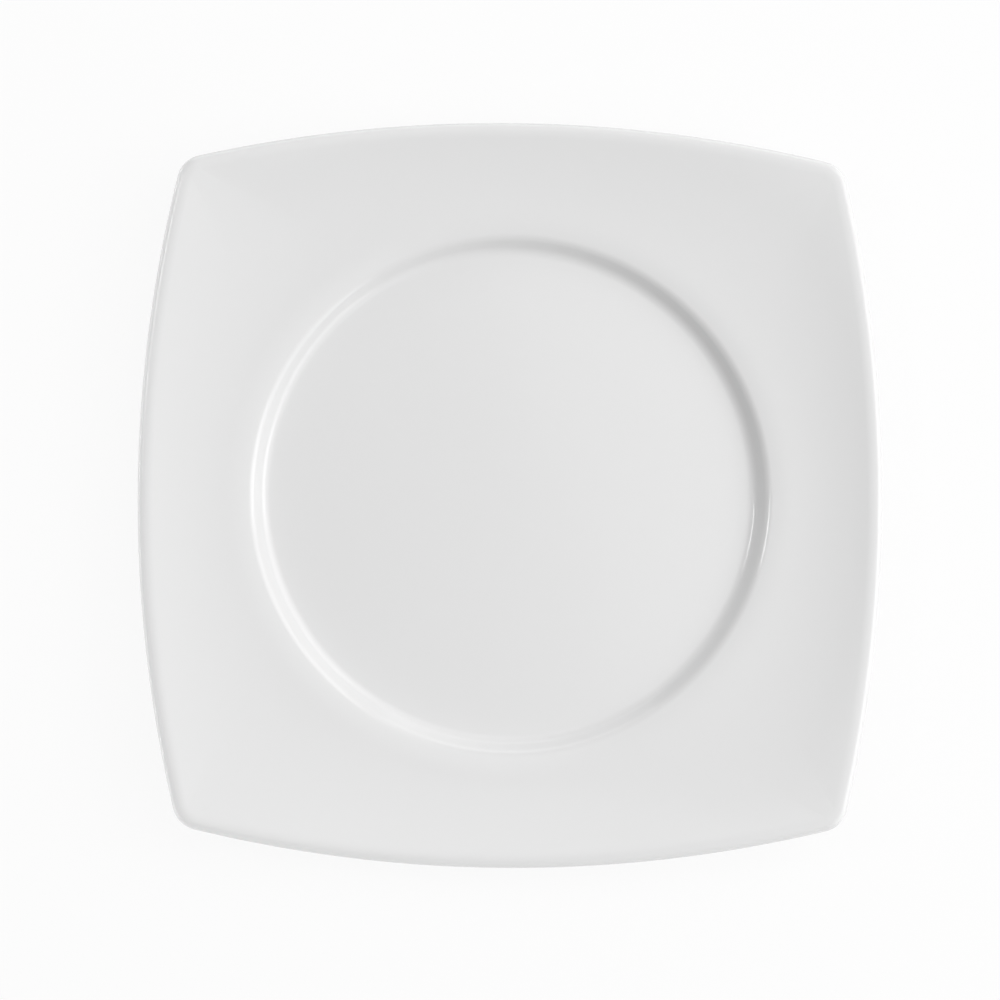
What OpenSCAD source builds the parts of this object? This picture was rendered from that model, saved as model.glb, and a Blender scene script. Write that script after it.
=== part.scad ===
// Square dinner plate in glazed porcelain: a rim with bowed sides, a round well and a round foot ring.
// The glazed surface is one closed section, carried round the plate in columns. Each station of the
// section is a circle, a ring parallel to the square outline, or a blend of the two on the rim.
// The clay is the same section sunk by the glaze, so that the clay and its coats meet face to face.

/* [Outline] */
// Width of the plate across the middle of two opposite sides
plate_w = 260; // [225:1:330]
// Radius of the bow of each side, seen from above
side_r = 465; // [300:5:900]
// Radius of each corner, seen from above
corner_r = 10; // [8:0.5:30]

/* [Rim] */
// Slope of the rim where it leaves the well, in degrees
rim_in_slope = 4; // [2:0.5:9]
// Slope of the rim where it meets the edge roll, in degrees
rim_out_slope = 16; // [8:0.5:24]
// Radius of the edge roll, which levels the rim off before the lip
edge_roll_r = 12; // [5:0.5:16]
// How much higher the lip is at a corner than at the middle of a side
corner_lift = 4.5; // [0:0.25:10]

/* [Well] */
// Radius of the flat floor of the well
floor_r = 84; // [79:0.5:95]
// Depth from the inner edge of the rim down to the floor
well_depth = 6; // [5:0.1:12]
// Steepest slope of the well's wall, in degrees
wall_slope = 50; // [40:1:60]
// Radius of the hollow curve between the floor and the wall
fillet_r = 4.5; // [1:0.1:8]
// Radius of the tight roll at the top of the wall
roll_r = 5; // [4.6:0.1:8]
// Slope at which the tight roll turns into the wide one, in degrees
roll_out_slope = 10.5; // [9:0.5:16]
// Radius of the wide roll that leads onto the rim
wide_roll_r = 60; // [20:1:70]

/* [Wall] */
// Thickness of the plate with its glaze, the same all over
wall_t = 4.4; // [3:0.1:4.8]
// Thickness of each coat of glaze
glaze_t = 0.3; // [0.15:0.05:0.6]

/* [Foot ring] */
// Radius of the foot ring, at the middle of its bearing band
foot_r = 74; // [40:0.5:76]
// Width of the flat bearing band, which has no glaze
band_w = 2.6; // [1.5:0.1:5]
// Height of the ring below the base
foot_h = 2.8; // [2.2:0.1:6]
// Draft of the ring's two sides, in degrees
foot_draft = 15; // [5:1:25]
// Radius of the hollow curve where the ring leaves the base
foot_root_r = 1.5; // [0.5:0.1:1.8]
// Radius of the edges of the bearing band
foot_edge_r = 0.8; // [0.4:0.1:1.1]

/* [Hidden] */

// Columns from the middle of a side to its end, and from there to the corner's tip
side_steps = 5;
corner_steps = 2;
// Steps along each stretch of the section
fillet_steps = 4;
roll_steps = 4;
wide_roll_steps = 2;
rim_steps = 3;
edge_roll_steps = 2;
lip_steps = 3;
back_fillet_steps = 2;
back_roll_steps = 2;
foot_steps = 2;

// The outline: a side's centre lies side_in behind the plate's centre, a corner's at corner_in on both axes
side_in = side_r - plate_w / 2;
corner_in = (sqrt(2 * pow(side_r - corner_r, 2) - pow(side_in, 2)) - side_in) / 2;
side_end = atan2(corner_in, corner_in + side_in);
tip_r = corner_in * sqrt(2) + corner_r;
quarter = 2 * (side_steps + corner_steps);
columns = 4 * quarter;

// The well's section, out from the edge of the floor
floor_z = foot_h + wall_t;
fillet_rise = fillet_r * (1 - cos(wall_slope));
roll_rise = roll_r * (cos(roll_out_slope) - cos(wall_slope));
wide_roll_rise = wide_roll_r * (cos(rim_in_slope) - cos(roll_out_slope));
wall_rise = well_depth - fillet_rise - roll_rise - wide_roll_rise;
wall_top_r = floor_r + fillet_r * sin(wall_slope) + wall_rise / tan(wall_slope);
wall_top_z = floor_z + fillet_rise + wall_rise;
roll_c = [wall_top_r + roll_r * sin(wall_slope), wall_top_z - roll_r * cos(wall_slope)];
wide_roll_c = roll_c + (roll_r - wide_roll_r) * [-sin(roll_out_slope), cos(roll_out_slope)];
rim_in_r = wide_roll_c[0] - wide_roll_r * sin(rim_in_slope);
rim_in_z = floor_z + well_depth;

// The rim's section, from the well over the edge roll to the round lip
lip_r = wall_t / 2;
rim_inset = lip_r + edge_roll_r * sin(rim_out_slope);
rim_run = plate_w / 2 - rim_inset - rim_in_r;
rim_rise = rim_run * (tan(rim_in_slope) + tan(rim_out_slope)) / 2;
edge_roll_z = rim_in_z + rim_rise - edge_roll_r * cos(rim_out_slope);
lip_z = edge_roll_z + edge_roll_r - lip_r;

// The foot ring's outer side, up from the band
side_low = [foot_r + band_w / 2 + foot_edge_r * cos(foot_draft), foot_edge_r * (1 - sin(foot_draft))];
side_high_z = foot_h - foot_root_r * (1 - sin(foot_draft));
side_high_r = side_low[0] + (side_high_z - side_low[1]) * tan(foot_draft);
root_c = [side_high_r + foot_root_r * cos(foot_draft), foot_h - foot_root_r];

// A station: share of the way from circle to outline, circle radius, inset from the outline, height,
// share of the corner lift, direction of the outward normal, share of the full coat of glaze
function round_station(r, z, normal, coat = 1) = [0, r, 0, z, 0, normal, coat];

// Stations of an arc about a centre. A hollow arc has its normals pointing at the centre.
function arc(c, r, from, to, steps, hollow = false) = [
    for (i = [0 : steps])
        let (a = from + (to - from) * i / steps, side = hollow ? -1 : 1)
            round_station(c[0] + side * r * cos(a), c[1] + side * r * sin(a), a)
];

// The face, from the floor's edge to the lip
function well(fillet_n, roll_n, wide_n) = concat(
    arc([floor_r, floor_z + fillet_r], fillet_r, 90, 90 + wall_slope, fillet_n, hollow = true),
    arc(roll_c, roll_r, 90 + wall_slope, 90 + roll_out_slope, roll_n),
    inner(arc(wide_roll_c, wide_roll_r, 90 + roll_out_slope, 90 + rim_in_slope, wide_n))
);
function rim_tan(t) = tan(rim_in_slope) * (1 - t) + tan(rim_out_slope) * t;
function rim_rise_share(t) = t * (tan(rim_in_slope) + rim_tan(t)) / (tan(rim_in_slope) + tan(rim_out_slope));
function edge_arc(z, r, from, to, steps) = [
    for (i = [0 : steps])
        let (a = from + (to - from) * i / steps)
            [1, rim_in_r, lip_r - r * cos(a), z + r * sin(a), 1, a, 1]
];
rim = concat(
    [
        for (i = [0 : rim_steps - 1])
            let (t = i / rim_steps, s = rim_rise_share(t))
                [t, rim_in_r, rim_inset, rim_in_z + rim_rise * s, s, 90 + atan(rim_tan(t)), 1]
    ],
    edge_arc(edge_roll_z, edge_roll_r, 90 + rim_out_slope, 90, edge_roll_steps)
);
lip = inner(edge_arc(lip_z, lip_r, 90, -90, 2 * lip_steps));

// The outer side of the foot ring, down from the base. The coat thins out to the bare edge.
foot_side = concat(
    arc(root_c, foot_root_r, -90, -foot_draft, foot_steps, hollow = true),
    bare(arc([foot_r + band_w / 2, foot_edge_r], foot_edge_r, -foot_draft, -90, foot_steps))
);

// Changes to a list of stations, or to one
function inner(list) = [for (i = [1 : len(list) - 2]) list[i]];
function backward(list) = [for (i = [len(list) - 1 : -1 : 0]) list[i]];
function bare(list) = [for (s = list) round_station(s[1], s[3], s[5], coat = 0)];
function sunk(s, depth) = [
    s[0], s[1] - depth * cos(s[5]), s[2] + depth * cos(s[5]), s[3] - depth * sin(s[5]), s[4], s[5], s[6]
];
function turned_over(list) = [
    for (s = backward(list))
        let (b = sunk(s, wall_t)) [b[0], b[1], b[2], b[3], b[4], b[5] - 180, b[6]]
];
function across_foot(list) = [
    for (s = backward(list)) round_station(2 * foot_r - s[1], s[3], -180 - s[5], s[6])
];

// The whole glazed section, from the floor over the lip and under the foot ring to the base
over = concat(well(fillet_steps, roll_steps, wide_roll_steps), rim, lip);
under = concat(turned_over(rim), turned_over(well(back_fillet_steps, back_roll_steps, 1)));
section = concat(over, under, foot_side, across_foot(foot_side));
band_out = len(over) + len(under) + foot_steps + 1;
band_in = len(section) - 1 - foot_steps - 1;

// Where column k meets the outline, drawn in by inset
function outline_point(k, inset) =
    let (
        turn = floor(k / quarter) * 90,
        i = k % quarter,
        on_side = i < 2 * side_steps,
        a = on_side
            ? side_end * (i / side_steps - 1)
            : side_end + (90 - 2 * side_end) * (i - 2 * side_steps) / (2 * corner_steps),
        x = on_side ? (side_r - inset) * cos(a) - side_in : corner_in + (corner_r - inset) * cos(a),
        y = on_side ? (side_r - inset) * sin(a) : corner_in + (corner_r - inset) * sin(a)
    )
    [x * cos(turn) - y * sin(turn), x * sin(turn) + y * cos(turn)];
function circle_point(k, r) =
    let (a = (k - side_steps) * 360 / columns) [r * cos(a), r * sin(a)];
function corner_share(k) = (norm(outline_point(k, 0)) - plate_w / 2) / (tip_r - plate_w / 2);
function ring(s) = [
    for (k = [0 : columns - 1])
        let (p = circle_point(k, s[1]) * (1 - s[0]) + outline_point(k, s[2]) * s[0])
            [p[0], p[1], s[3] + s[4] * corner_lift * corner_share(k)]
];

function glazed(from, to) = [for (i = [from : to]) ring(section[i])];
function clay(from, to) = [for (i = [from : to]) ring(sunk(section[i], glaze_t * section[i][6]))];

// A closed solid through a list of rings, with a flat cap on the first and on the last. Each patch
// is split along its shorter diagonal, so two skins through the same rings have the same facets.
module skin(rings) {
    points = [for (r = rings) each r];
    last = (len(rings) - 1) * columns;
    first_cap = [for (k = [columns - 1 : -1 : 0]) k];
    last_cap = [for (k = [0 : columns - 1]) last + k];
    patches = [
        for (i = [0 : len(rings) - 2], k = [0 : columns - 1])
            let (
                a = i * columns + k,
                b = a + columns,
                d = i * columns + (k + 1) % columns,
                c = d + columns,
                along_ac = norm(points[a] - points[c]) < norm(points[b] - points[d])
            )
            each along_ac ? [[a, d, c], [a, c, b]] : [[a, d, b], [b, d, c]]
    ];
    polyhedron(points, concat([first_cap, last_cap], patches));
}

module porcelain_body() {
    color("seashell") skin(clay(0, len(section) - 1));
}

module face_glaze() {
    color("white") skin(concat(glazed(0, band_out), backward(clay(0, band_out - 1))));
}

module base_glaze() {
    last = len(section) - 1;
    color("ghostwhite") skin(concat(backward(clay(band_in + 1, last)), glazed(band_in, last)));
}

porcelain_body();
face_glaze();
base_glaze();
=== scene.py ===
import math

import bpy
import numpy as np
from mathutils import Matrix, Vector

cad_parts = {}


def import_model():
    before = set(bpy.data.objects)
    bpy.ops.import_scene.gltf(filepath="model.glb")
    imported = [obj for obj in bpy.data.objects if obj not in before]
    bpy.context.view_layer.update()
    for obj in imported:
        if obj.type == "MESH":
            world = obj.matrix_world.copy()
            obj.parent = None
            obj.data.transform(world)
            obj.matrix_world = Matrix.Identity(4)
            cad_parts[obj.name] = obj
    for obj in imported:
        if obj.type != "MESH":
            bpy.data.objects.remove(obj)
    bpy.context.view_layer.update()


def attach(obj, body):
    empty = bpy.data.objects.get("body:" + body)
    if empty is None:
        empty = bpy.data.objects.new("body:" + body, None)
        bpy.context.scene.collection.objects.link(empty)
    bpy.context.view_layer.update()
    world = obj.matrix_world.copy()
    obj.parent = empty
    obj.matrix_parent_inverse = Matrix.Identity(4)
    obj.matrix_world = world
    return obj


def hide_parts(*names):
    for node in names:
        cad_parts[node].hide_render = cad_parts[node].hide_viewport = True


# A white porcelain plate with a bowed square rim and a round well. The three pieces repeat the
# construction of the part's own source, in metres, with a finer mesh and without its flat facets.

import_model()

MM = 0.001

# Outline, seen from above
PLATE_W = 260 * MM
SIDE_R = 465 * MM
CORNER_R = 10 * MM

# Rim
RIM_IN_SLOPE = math.radians(4)
RIM_OUT_SLOPE = math.radians(16)
EDGE_ROLL_R = 12 * MM
CORNER_LIFT = 4.5 * MM

# Well
FLOOR_R = 84 * MM
WELL_DEPTH = 6 * MM
WALL_SLOPE = math.radians(50)
FILLET_R = 4.5 * MM
ROLL_R = 5 * MM
ROLL_OUT_SLOPE = math.radians(10.5)
WIDE_ROLL_R = 60 * MM

# Wall and glaze
WALL_T = 4.4 * MM
GLAZE_T = 0.3 * MM

# Foot ring
FOOT_R = 74 * MM
BAND_W = 2.6 * MM
FOOT_H = 2.8 * MM
FOOT_DRAFT = math.radians(15)
FOOT_ROOT_R = 1.5 * MM
FOOT_EDGE_R = 0.8 * MM

# Columns from the middle of a side to its end, and from there to the tip of the corner
SIDE_STEPS = 35
CORNER_STEPS = 14
QUARTER = 2 * (SIDE_STEPS + CORNER_STEPS)
COLUMNS = 4 * QUARTER

# Steps along the stretches of the section
FILLET_STEPS = 16
ROLL_STEPS = 14
WIDE_ROLL_STEPS = 10
RIM_STEPS = 24
EDGE_ROLL_STEPS = 12
LIP_STEPS = 24
FOOT_ROOT_STEPS = 10
FOOT_EDGE_STEPS = 8

# Rings on the flat discs of the floor and the base, as shares of their radius
DISC_SHARES = (0.02, 0.15, 0.3, 0.45, 0.6, 0.75, 0.88, 0.96, 0.99)

# A station is one point of the section. Its fields are the share of the outline in its ring, the radius
# of the circle and the inset of the outline that it blends, its height, its share of the corners' lift,
# the angle of its normal and its share of the glaze's thickness
FIELDS = 7
SHARE, CIRCLE_R, INSET, HEIGHT, LIFT, NORMAL, COAT = range(FIELDS)
UP = math.pi / 2
QUARTER_TURN = ((0, 1), (-1, 0))

# Noises of the finishes, each as its scale, in cells to the metre, and its detail
CLOUD = (9, 3)
GLOSS = (60, 4)
PULL = (45, 1)
PEEL = (420, 2)
SPECKLE = (260, 5)
TOOTH = (500, 3)
SAND = (2500, 3)

# The stretch of a noise that holds nearly all of its values
NOISE_LOW = 0.3
NOISE_HIGH = 0.7

# Tones, gloss and relief of the glaze
GLAZE_DARK = (0.80, 0.80, 0.80)
GLAZE_PALE = (0.82, 0.82, 0.82)
GLAZE_ROUGHNESS = (0.07, 0.12)
GLAZE_IOR = 1.5
PULL_DEPTH = 0.04 * MM
PEEL_DEPTH = 0.004 * MM

# Tones, gloss and relief of the bare clay
CLAY_DARK = (0.70, 0.67, 0.62)
CLAY_PALE = (0.80, 0.78, 0.74)
CLAY_ROUGHNESS = (0.6, 0.8)
SAND_DEPTH = 0.03 * MM


def turned(angle):
    """The unit step in the section at an angle from outward."""
    return np.array((math.cos(angle), math.sin(angle)))


def round_stations(points, normals, coat=1.0):
    out = np.zeros((len(points), FIELDS))
    out[:, CIRCLE_R] = [p[0] for p in points]
    out[:, HEIGHT] = [p[1] for p in points]
    out[:, NORMAL] = normals
    out[:, COAT] = coat
    return out


def arc(centre, radius, start, end, steps, hollow=False, coat=1.0):
    """Stations of an arc. A hollow arc has its normals pointing at the centre."""
    normals = np.linspace(start, end, steps + 1)
    side = -1 if hollow else 1
    return round_stations([centre + side * radius * turned(a) for a in normals], normals, coat)


def edge_arc(circle_r, height, radius, start, end, steps):
    """Stations of an arc at the lip, parallel to the outline, whose centre is half a wall from the edge."""
    angles = np.linspace(start, end, steps + 1)
    out = np.zeros((len(angles), FIELDS))
    out[:, SHARE] = 1
    out[:, CIRCLE_R] = circle_r
    out[:, INSET] = WALL_T / 2 - radius * np.cos(angles)
    out[:, HEIGHT] = height + radius * np.sin(angles)
    out[:, LIFT] = 1
    out[:, NORMAL] = angles
    out[:, COAT] = 1
    return out


def sunk(stations, depth):
    """The stations moved against their normals, by one depth or by one for each."""
    out = stations.copy()
    out[:, CIRCLE_R] -= depth * np.cos(stations[:, NORMAL])
    out[:, INSET] += depth * np.cos(stations[:, NORMAL])
    out[:, HEIGHT] -= depth * np.sin(stations[:, NORMAL])
    return out


def turned_over(stations):
    """The underside that lies one wall below the stations, run the other way."""
    out = sunk(stations, WALL_T)[::-1].copy()
    out[:, NORMAL] -= math.pi
    return out


def across_foot(stations):
    """The stations mirrored to the other side of the foot ring, run the other way."""
    out = stations[::-1].copy()
    out[:, CIRCLE_R] = 2 * FOOT_R - out[:, CIRCLE_R]
    out[:, NORMAL] = -math.pi - out[:, NORMAL]
    return out


def well_and_rim():
    """Stations of the well, of the rim with its edge roll, and of the lip."""
    floor_z = FOOT_H + WALL_T
    fillet_rise = FILLET_R * (1 - math.cos(WALL_SLOPE))
    roll_rise = ROLL_R * (math.cos(ROLL_OUT_SLOPE) - math.cos(WALL_SLOPE))
    wide_rise = WIDE_ROLL_R * (math.cos(RIM_IN_SLOPE) - math.cos(ROLL_OUT_SLOPE))
    wall_rise = WELL_DEPTH - fillet_rise - roll_rise - wide_rise
    wall_top = np.array((
        FLOOR_R + FILLET_R * math.sin(WALL_SLOPE) + wall_rise / math.tan(WALL_SLOPE),
        floor_z + fillet_rise + wall_rise,
    ))
    roll_c = wall_top - ROLL_R * turned(UP + WALL_SLOPE)
    wide_c = roll_c + (ROLL_R - WIDE_ROLL_R) * turned(UP + ROLL_OUT_SLOPE)
    fillet_c = np.array((FLOOR_R, floor_z + FILLET_R))
    well = np.concatenate((
        arc(fillet_c, FILLET_R, UP, UP + WALL_SLOPE, FILLET_STEPS, hollow=True),
        arc(roll_c, ROLL_R, UP + WALL_SLOPE, UP + ROLL_OUT_SLOPE, ROLL_STEPS),
        arc(wide_c, WIDE_ROLL_R, UP + ROLL_OUT_SLOPE, UP + RIM_IN_SLOPE, WIDE_ROLL_STEPS)[1:-1],
    ))

    lip_r = WALL_T / 2
    rim_in_r = wide_c[0] - WIDE_ROLL_R * math.sin(RIM_IN_SLOPE)
    rim_in_z = floor_z + WELL_DEPTH
    rim_inset = lip_r + EDGE_ROLL_R * math.sin(RIM_OUT_SLOPE)
    run = PLATE_W / 2 - rim_inset - rim_in_r
    tan_in, tan_out = math.tan(RIM_IN_SLOPE), math.tan(RIM_OUT_SLOPE)
    rise = run * (tan_in + tan_out) / 2
    share = np.linspace(0, 1, RIM_STEPS + 1)[:-1]
    slope = tan_in * (1 - share) + tan_out * share
    rise_share = share * (tan_in + slope) / (tan_in + tan_out)
    flat = np.zeros((len(share), FIELDS))
    flat[:, SHARE] = share
    flat[:, CIRCLE_R] = rim_in_r
    flat[:, INSET] = rim_inset
    flat[:, HEIGHT] = rim_in_z + rise * rise_share
    flat[:, LIFT] = rise_share
    flat[:, NORMAL] = UP + np.arctan(slope)
    flat[:, COAT] = 1

    edge_roll_z = rim_in_z + rise - EDGE_ROLL_R * math.cos(RIM_OUT_SLOPE)
    edge_roll = edge_arc(rim_in_r, edge_roll_z, EDGE_ROLL_R, UP + RIM_OUT_SLOPE, UP, EDGE_ROLL_STEPS)
    lip = edge_arc(rim_in_r, edge_roll_z + EDGE_ROLL_R - lip_r, lip_r, UP, -UP, LIP_STEPS)[1:-1]
    return well, np.concatenate((flat, edge_roll)), lip


def foot_side():
    """Stations down the outer side of the foot ring. The coat thins out to the bare edge."""
    edge_c = np.array((FOOT_R + BAND_W / 2, FOOT_EDGE_R))
    low = edge_c + FOOT_EDGE_R * turned(-FOOT_DRAFT)
    high_z = FOOT_H - FOOT_ROOT_R * (1 - math.sin(FOOT_DRAFT))
    high_r = low[0] + (high_z - low[1]) * math.tan(FOOT_DRAFT)
    root_c = np.array((high_r + FOOT_ROOT_R * math.cos(FOOT_DRAFT), FOOT_H - FOOT_ROOT_R))
    root = arc(root_c, FOOT_ROOT_R, -UP, -FOOT_DRAFT, FOOT_ROOT_STEPS, hollow=True)
    edge = arc(edge_c, FOOT_EDGE_R, -FOOT_DRAFT, -UP, FOOT_EDGE_STEPS, coat=0.0)
    return root, edge


well, rim, lip = well_and_rim()
root, edge = foot_side()
SECTION = np.concatenate((
    well, rim, lip, turned_over(rim), turned_over(well),
    root, edge, across_foot(edge), across_foot(root),
))

# Places in the section where the glaze has run out, outside and inside the foot ring's bare band
BAND_OUT = len(SECTION) - 2 * len(edge) - len(root)
BAND_IN = len(SECTION) - len(root) - 1


def outline_points(inset):
    """The outline drawn in by inset, one point for each column."""
    side_in = SIDE_R - PLATE_W / 2
    corner_in = (math.sqrt(2 * (SIDE_R - CORNER_R) ** 2 - side_in ** 2) - side_in) / 2
    side_end = math.atan2(corner_in, corner_in + side_in)
    side = np.linspace(-side_end, side_end, 2 * SIDE_STEPS + 1)[:-1]
    corner = np.linspace(side_end, UP - side_end, 2 * CORNER_STEPS + 1)[:-1]
    side_xy = (SIDE_R - inset) * np.stack((np.cos(side), np.sin(side)), 1) - (side_in, 0)
    corner_xy = (CORNER_R - inset) * np.stack((np.cos(corner), np.sin(corner)), 1) + corner_in
    quarter = np.concatenate((side_xy, corner_xy))
    quarters = [quarter]
    for _ in range(3):
        quarters.append(quarters[-1] @ QUARTER_TURN)
    return np.concatenate(quarters)


def circle_points(radius):
    angle = (np.arange(COLUMNS) - SIDE_STEPS) * 2 * math.pi / COLUMNS
    return radius * np.stack((np.cos(angle), np.sin(angle)), 1)


# Share of the corners' lift in each column, from none at the middle of a side to all at a corner's tip
EDGE_REACH = np.hypot(*outline_points(0).T)
CORNER_SHARE = (EDGE_REACH - PLATE_W / 2) / (EDGE_REACH.max() - PLATE_W / 2)


def ring(station):
    """The loop of points round the plate at one station."""
    share = station[SHARE]
    xy = circle_points(station[CIRCLE_R]) * (1 - share) + outline_points(station[INSET]) * share
    z = station[HEIGHT] + station[LIFT] * CORNER_LIFT * CORNER_SHARE
    return np.column_stack((xy, z))


def rings(stations):
    return [ring(s) for s in stations]


def disc(station):
    """Rings that close a flat disc, from near its centre out to just inside the station's ring."""
    full = ring(station)
    return [full * (share, share, 1) for share in DISC_SHARES]


def skin(name, loops):
    """A closed mesh through the loops, with a small cap on the first and on the last."""
    points = np.concatenate(loops)
    faces = [tuple(range(COLUMNS))]
    for i in range(len(loops) - 1):
        base = i * COLUMNS
        for k in range(COLUMNS):
            a, d = base + k, base + (k + 1) % COLUMNS
            faces.append((a, a + COLUMNS, d + COLUMNS, d))
    last = (len(loops) - 1) * COLUMNS
    faces.append(tuple(range(last + COLUMNS - 1, last - 1, -1)))
    mesh = bpy.data.meshes.new(name)
    mesh.from_pydata(points.tolist(), [], faces)
    mesh.update()
    mesh.polygons.foreach_set("use_smooth", [True] * len(mesh.polygons))
    piece = bpy.data.objects.new(name, mesh)
    bpy.context.scene.collection.objects.link(piece)
    return piece


def clay(stations):
    """The clay's surface under the glaze."""
    return sunk(stations, GLAZE_T * stations[:, COAT])


def add_piece(name, node, loops, material):
    piece = skin(name, loops)
    piece.data.materials.append(material)
    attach(piece, "root")
    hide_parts(node)


def node_tree(material):
    tree = material.node_tree
    tree.nodes.clear()
    return tree.nodes, tree.links


def noise(nodes, links, place, kind):
    scale, detail = kind
    texture = nodes.new("ShaderNodeTexNoise")
    texture.inputs["Scale"].default_value = scale
    texture.inputs["Detail"].default_value = detail
    links.new(place, texture.inputs["Vector"])
    return texture.outputs["Fac"]


def ranged(nodes, links, value, limits):
    low, high = limits
    scale = nodes.new("ShaderNodeMapRange")
    scale.inputs["From Min"].default_value = NOISE_LOW
    scale.inputs["From Max"].default_value = NOISE_HIGH
    scale.inputs["To Min"].default_value = low
    scale.inputs["To Max"].default_value = high
    links.new(value, scale.inputs["Value"])
    return scale.outputs["Result"]


def mixed(nodes, links, value, one, other):
    mix = nodes.new("ShaderNodeMix")
    mix.data_type = "RGBA"
    mix.inputs["A"].default_value = (*one, 1)
    mix.inputs["B"].default_value = (*other, 1)
    links.new(value, mix.inputs["Factor"])
    return mix.outputs["Result"]


def bump(nodes, links, height, distance, under=None):
    node = nodes.new("ShaderNodeBump")
    node.inputs["Strength"].default_value = 1
    node.inputs["Distance"].default_value = distance
    links.new(height, node.inputs["Height"])
    if under is not None:
        links.new(under, node.inputs["Normal"])
    return node.outputs["Normal"]


def new_finish(name):
    """A material with one shader, and the place on the piece that its noises follow."""
    material = bpy.data.materials.new(name)
    material.use_nodes = True
    nodes, links = node_tree(material)
    out = nodes.new("ShaderNodeOutputMaterial")
    shader = nodes.new("ShaderNodeBsdfPrincipled")
    links.new(shader.outputs["BSDF"], out.inputs["Surface"])
    place = nodes.new("ShaderNodeTexCoord").outputs["Object"]
    return material, shader, place


def glaze_material():
    material, shader, place = new_finish("glaze_finish")
    nodes, links = material.node_tree.nodes, material.node_tree.links
    tone = mixed(nodes, links, noise(nodes, links, place, CLOUD), GLAZE_DARK, GLAZE_PALE)
    links.new(tone, shader.inputs["Base Color"])
    gloss = ranged(nodes, links, noise(nodes, links, place, GLOSS), GLAZE_ROUGHNESS)
    links.new(gloss, shader.inputs["Roughness"])
    shader.inputs["IOR"].default_value = GLAZE_IOR
    pull = bump(nodes, links, noise(nodes, links, place, PULL), PULL_DEPTH)
    peel = bump(nodes, links, noise(nodes, links, place, PEEL), PEEL_DEPTH, under=pull)
    links.new(peel, shader.inputs["Normal"])
    return material


def bare_material():
    material, shader, place = new_finish("bare_finish")
    nodes, links = material.node_tree.nodes, material.node_tree.links
    tone = mixed(nodes, links, noise(nodes, links, place, SPECKLE), CLAY_DARK, CLAY_PALE)
    links.new(tone, shader.inputs["Base Color"])
    gloss = ranged(nodes, links, noise(nodes, links, place, TOOTH), CLAY_ROUGHNESS)
    links.new(gloss, shader.inputs["Roughness"])
    sand = bump(nodes, links, noise(nodes, links, place, SAND), SAND_DEPTH)
    links.new(sand, shader.inputs["Normal"])
    return material


glaze = glaze_material()
bare = bare_material()
floor_disc = disc(SECTION[0])
base_disc = disc(SECTION[-1])
clay_section = clay(SECTION)
clay_floor_disc = disc(clay_section[0])
clay_base_disc = disc(clay_section[-1])

add_piece(
    "clay_body", "porcelain_body",
    clay_floor_disc + rings(clay_section) + clay_base_disc[::-1], bare,
)
add_piece(
    "glaze_coat", "face_glaze",
    floor_disc + rings(SECTION[:BAND_OUT + 1])
    + rings(clay_section[:BAND_OUT][::-1]) + clay_floor_disc[::-1], glaze,
)
add_piece(
    "glaze_base", "base_glaze",
    clay_base_disc + rings(clay_section[BAND_IN + 1:][::-1])
    + rings(SECTION[BAND_IN:]) + base_disc[::-1], glaze,
)

# Floor and world
FLOOR_HALF = 2.5
FLOOR_GREY = 0.9
FLOOR_WHITE_SHARE = 0.9
WHITE = (1, 1, 1, 1)
WORLD_STRENGTH = 0.245

# Lamps stand at one distance from the origin, but for the one that is nearly straight above. A card is a
# long low strip of light beside the plate, which reaches the lip and not the face
LAMP_DISTANCE = 1.4
TOP_DISTANCE = 2.0
TOP_W = 3.4
GLINT_W = 0.24
CARD_H = 0.02
CARD_ELEVATION = 0.5

# Camera. The lean is its direction from the plate, and the aim the point in the middle of the picture
CAMERA_LEAN = Vector((-0.054, -0.0565, 1.0)).normalized()
PICTURE_UP = Vector((-0.0037, 1, 0))
CAMERA_DISTANCE = 1.695
CAMERA_AIM = Vector((-0.00423, -0.00236, 0.020))
SENSOR_W = 36.0
PHOTO_W = 1000
PIXELS_PER_METRE = 2876.6


def seen_share(nodes, links, most):
    """The given share for rays that show a surface, straight on, in a reflection or through glass."""
    path = nodes.new("ShaderNodeLightPath")
    share = path.outputs["Is Camera Ray"]
    for kind in ("Is Glossy Ray", "Is Transmission Ray"):
        either = nodes.new("ShaderNodeMath")
        either.operation = "MAXIMUM"
        links.new(share, either.inputs[0])
        links.new(path.outputs[kind], either.inputs[1])
        share = either.outputs[0]
    part = nodes.new("ShaderNodeMath")
    part.operation = "MULTIPLY"
    part.inputs[1].default_value = most
    links.new(share, part.inputs[0])
    return part.outputs[0]


def floor():
    mesh = bpy.data.meshes.new("floor")
    corners = [(FLOOR_HALF * x, FLOOR_HALF * y, 0) for x, y in ((-1, -1), (1, -1), (1, 1), (-1, 1))]
    mesh.from_pydata(corners, [], [(0, 1, 2, 3)])
    ground = bpy.data.objects.new("floor", mesh)
    bpy.context.scene.collection.objects.link(ground)
    material = bpy.data.materials.new("floor_white")
    material.use_nodes = True
    nodes, links = node_tree(material)
    out = nodes.new("ShaderNodeOutputMaterial")
    diffuse = nodes.new("ShaderNodeBsdfDiffuse")
    diffuse.inputs["Color"].default_value = (FLOOR_GREY, FLOOR_GREY, FLOOR_GREY, 1)
    glow = nodes.new("ShaderNodeEmission")
    glow.inputs["Color"].default_value = WHITE
    glow.inputs["Strength"].default_value = 1
    mix = nodes.new("ShaderNodeMixShader")
    links.new(seen_share(nodes, links, FLOOR_WHITE_SHARE), mix.inputs["Fac"])
    links.new(diffuse.outputs["BSDF"], mix.inputs[1])
    links.new(glow.outputs["Emission"], mix.inputs[2])
    links.new(mix.outputs["Shader"], out.inputs["Surface"])
    ground.data.materials.append(material)


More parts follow.
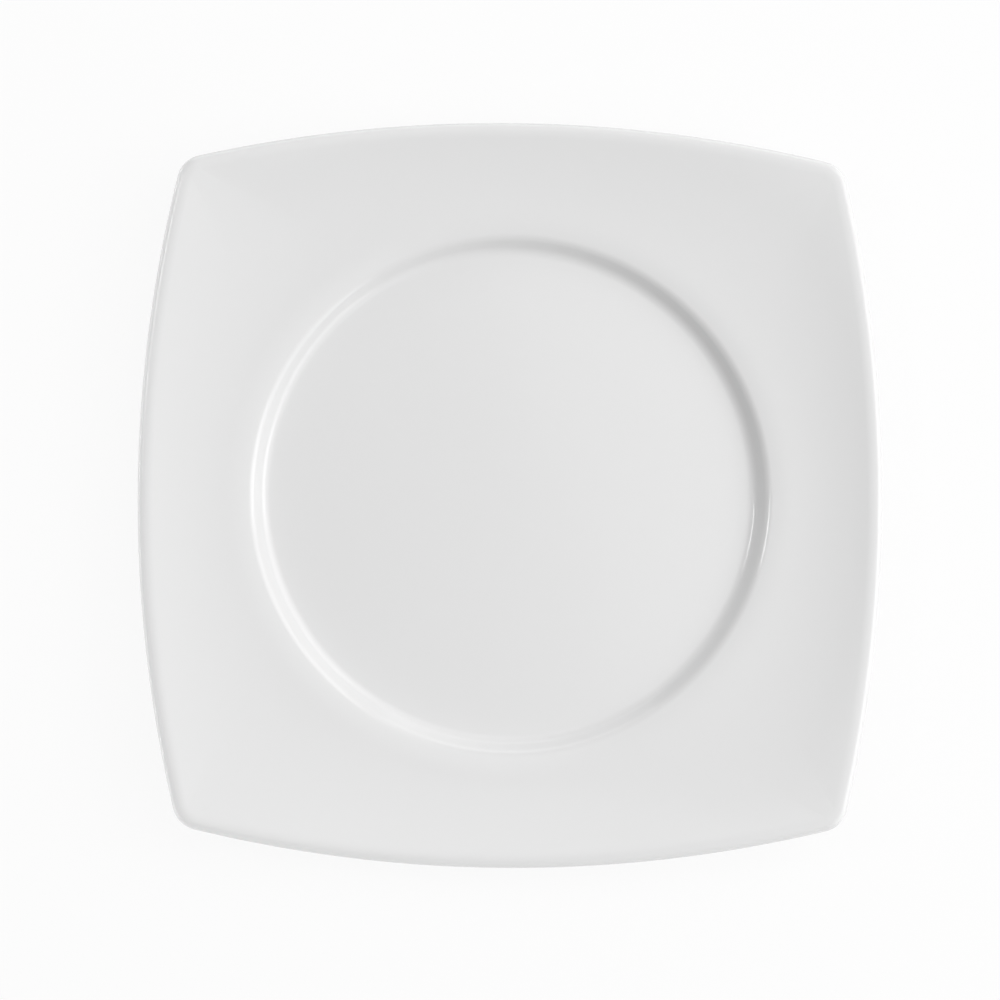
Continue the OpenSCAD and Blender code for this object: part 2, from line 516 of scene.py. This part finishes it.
def world():
    surroundings = bpy.data.worlds.new("surroundings")
    bpy.context.scene.world = surroundings
    surroundings.use_nodes = True
    nodes, links = node_tree(surroundings)
    out = nodes.new("ShaderNodeOutputWorld")
    light = nodes.new("ShaderNodeBackground")
    light.inputs["Color"].default_value = WHITE
    light.inputs["Strength"].default_value = WORLD_STRENGTH
    seen = nodes.new("ShaderNodeBackground")
    seen.inputs["Color"].default_value = WHITE
    seen.inputs["Strength"].default_value = 1
    mix = nodes.new("ShaderNodeMixShader")
    links.new(seen_share(nodes, links, 1), mix.inputs["Fac"])
    links.new(light.outputs["Background"], mix.inputs[1])
    links.new(seen.outputs["Background"], mix.inputs[2])
    links.new(mix.outputs["Shader"], out.inputs["Surface"])


def area_lamp(name, azimuth, elevation, width, height, power, distance=LAMP_DISTANCE):
    """A lamp that shines at the origin. Its width lies level. Angles are in degrees, and power in watts."""
    data = bpy.data.lights.new(name, "AREA")
    data.shape = "RECTANGLE"
    data.size = width
    data.size_y = height
    data.energy = power
    lamp = bpy.data.objects.new(name, data)
    bpy.context.scene.collection.objects.link(lamp)
    az, el = math.radians(azimuth), math.radians(elevation)
    away = Vector((math.cos(el) * math.cos(az), math.cos(el) * math.sin(az), math.sin(el)))
    lamp.location = away * distance
    lamp.rotation_euler = away.to_track_quat("Z", "Y").to_euler()


def camera():
    data = bpy.data.cameras.new("camera")
    data.sensor_width = SENSOR_W
    data.lens = PIXELS_PER_METRE * CAMERA_DISTANCE * SENSOR_W / PHOTO_W
    eye = bpy.data.objects.new("camera", data)
    bpy.context.scene.collection.objects.link(eye)
    up = (PICTURE_UP - CAMERA_LEAN * PICTURE_UP.dot(CAMERA_LEAN)).normalized()
    turn = Matrix((up.cross(CAMERA_LEAN), up, CAMERA_LEAN)).transposed()
    eye.matrix_world = Matrix.Translation(CAMERA_AIM + CAMERA_LEAN * CAMERA_DISTANCE) @ turn.to_4x4()
    bpy.context.scene.camera = eye


floor()
world()
area_lamp("key", azimuth=20, elevation=35, width=1.4, height=0.9, power=5.3)
area_lamp("side", azimuth=340, elevation=27, width=1.4, height=0.9, power=7.0)
area_lamp("back", azimuth=90, elevation=15, width=1.6, height=0.68, power=4.6)
area_lamp("overhead", azimuth=20, elevation=55, width=1.6, height=1.6, power=4.3)
area_lamp("top", azimuth=0, elevation=89, width=TOP_W, height=TOP_W, power=12.5, distance=TOP_DISTANCE)
area_lamp("glint", azimuth=165, elevation=50, width=GLINT_W, height=GLINT_W, power=1.4)
area_lamp("card_left", azimuth=180, elevation=CARD_ELEVATION, width=2.0, height=CARD_H, power=5.0)
area_lamp("card_front", azimuth=225, elevation=CARD_ELEVATION, width=1.0, height=CARD_H, power=5.4)
camera()
bpy.context.scene.view_settings.view_transform = "Standard"
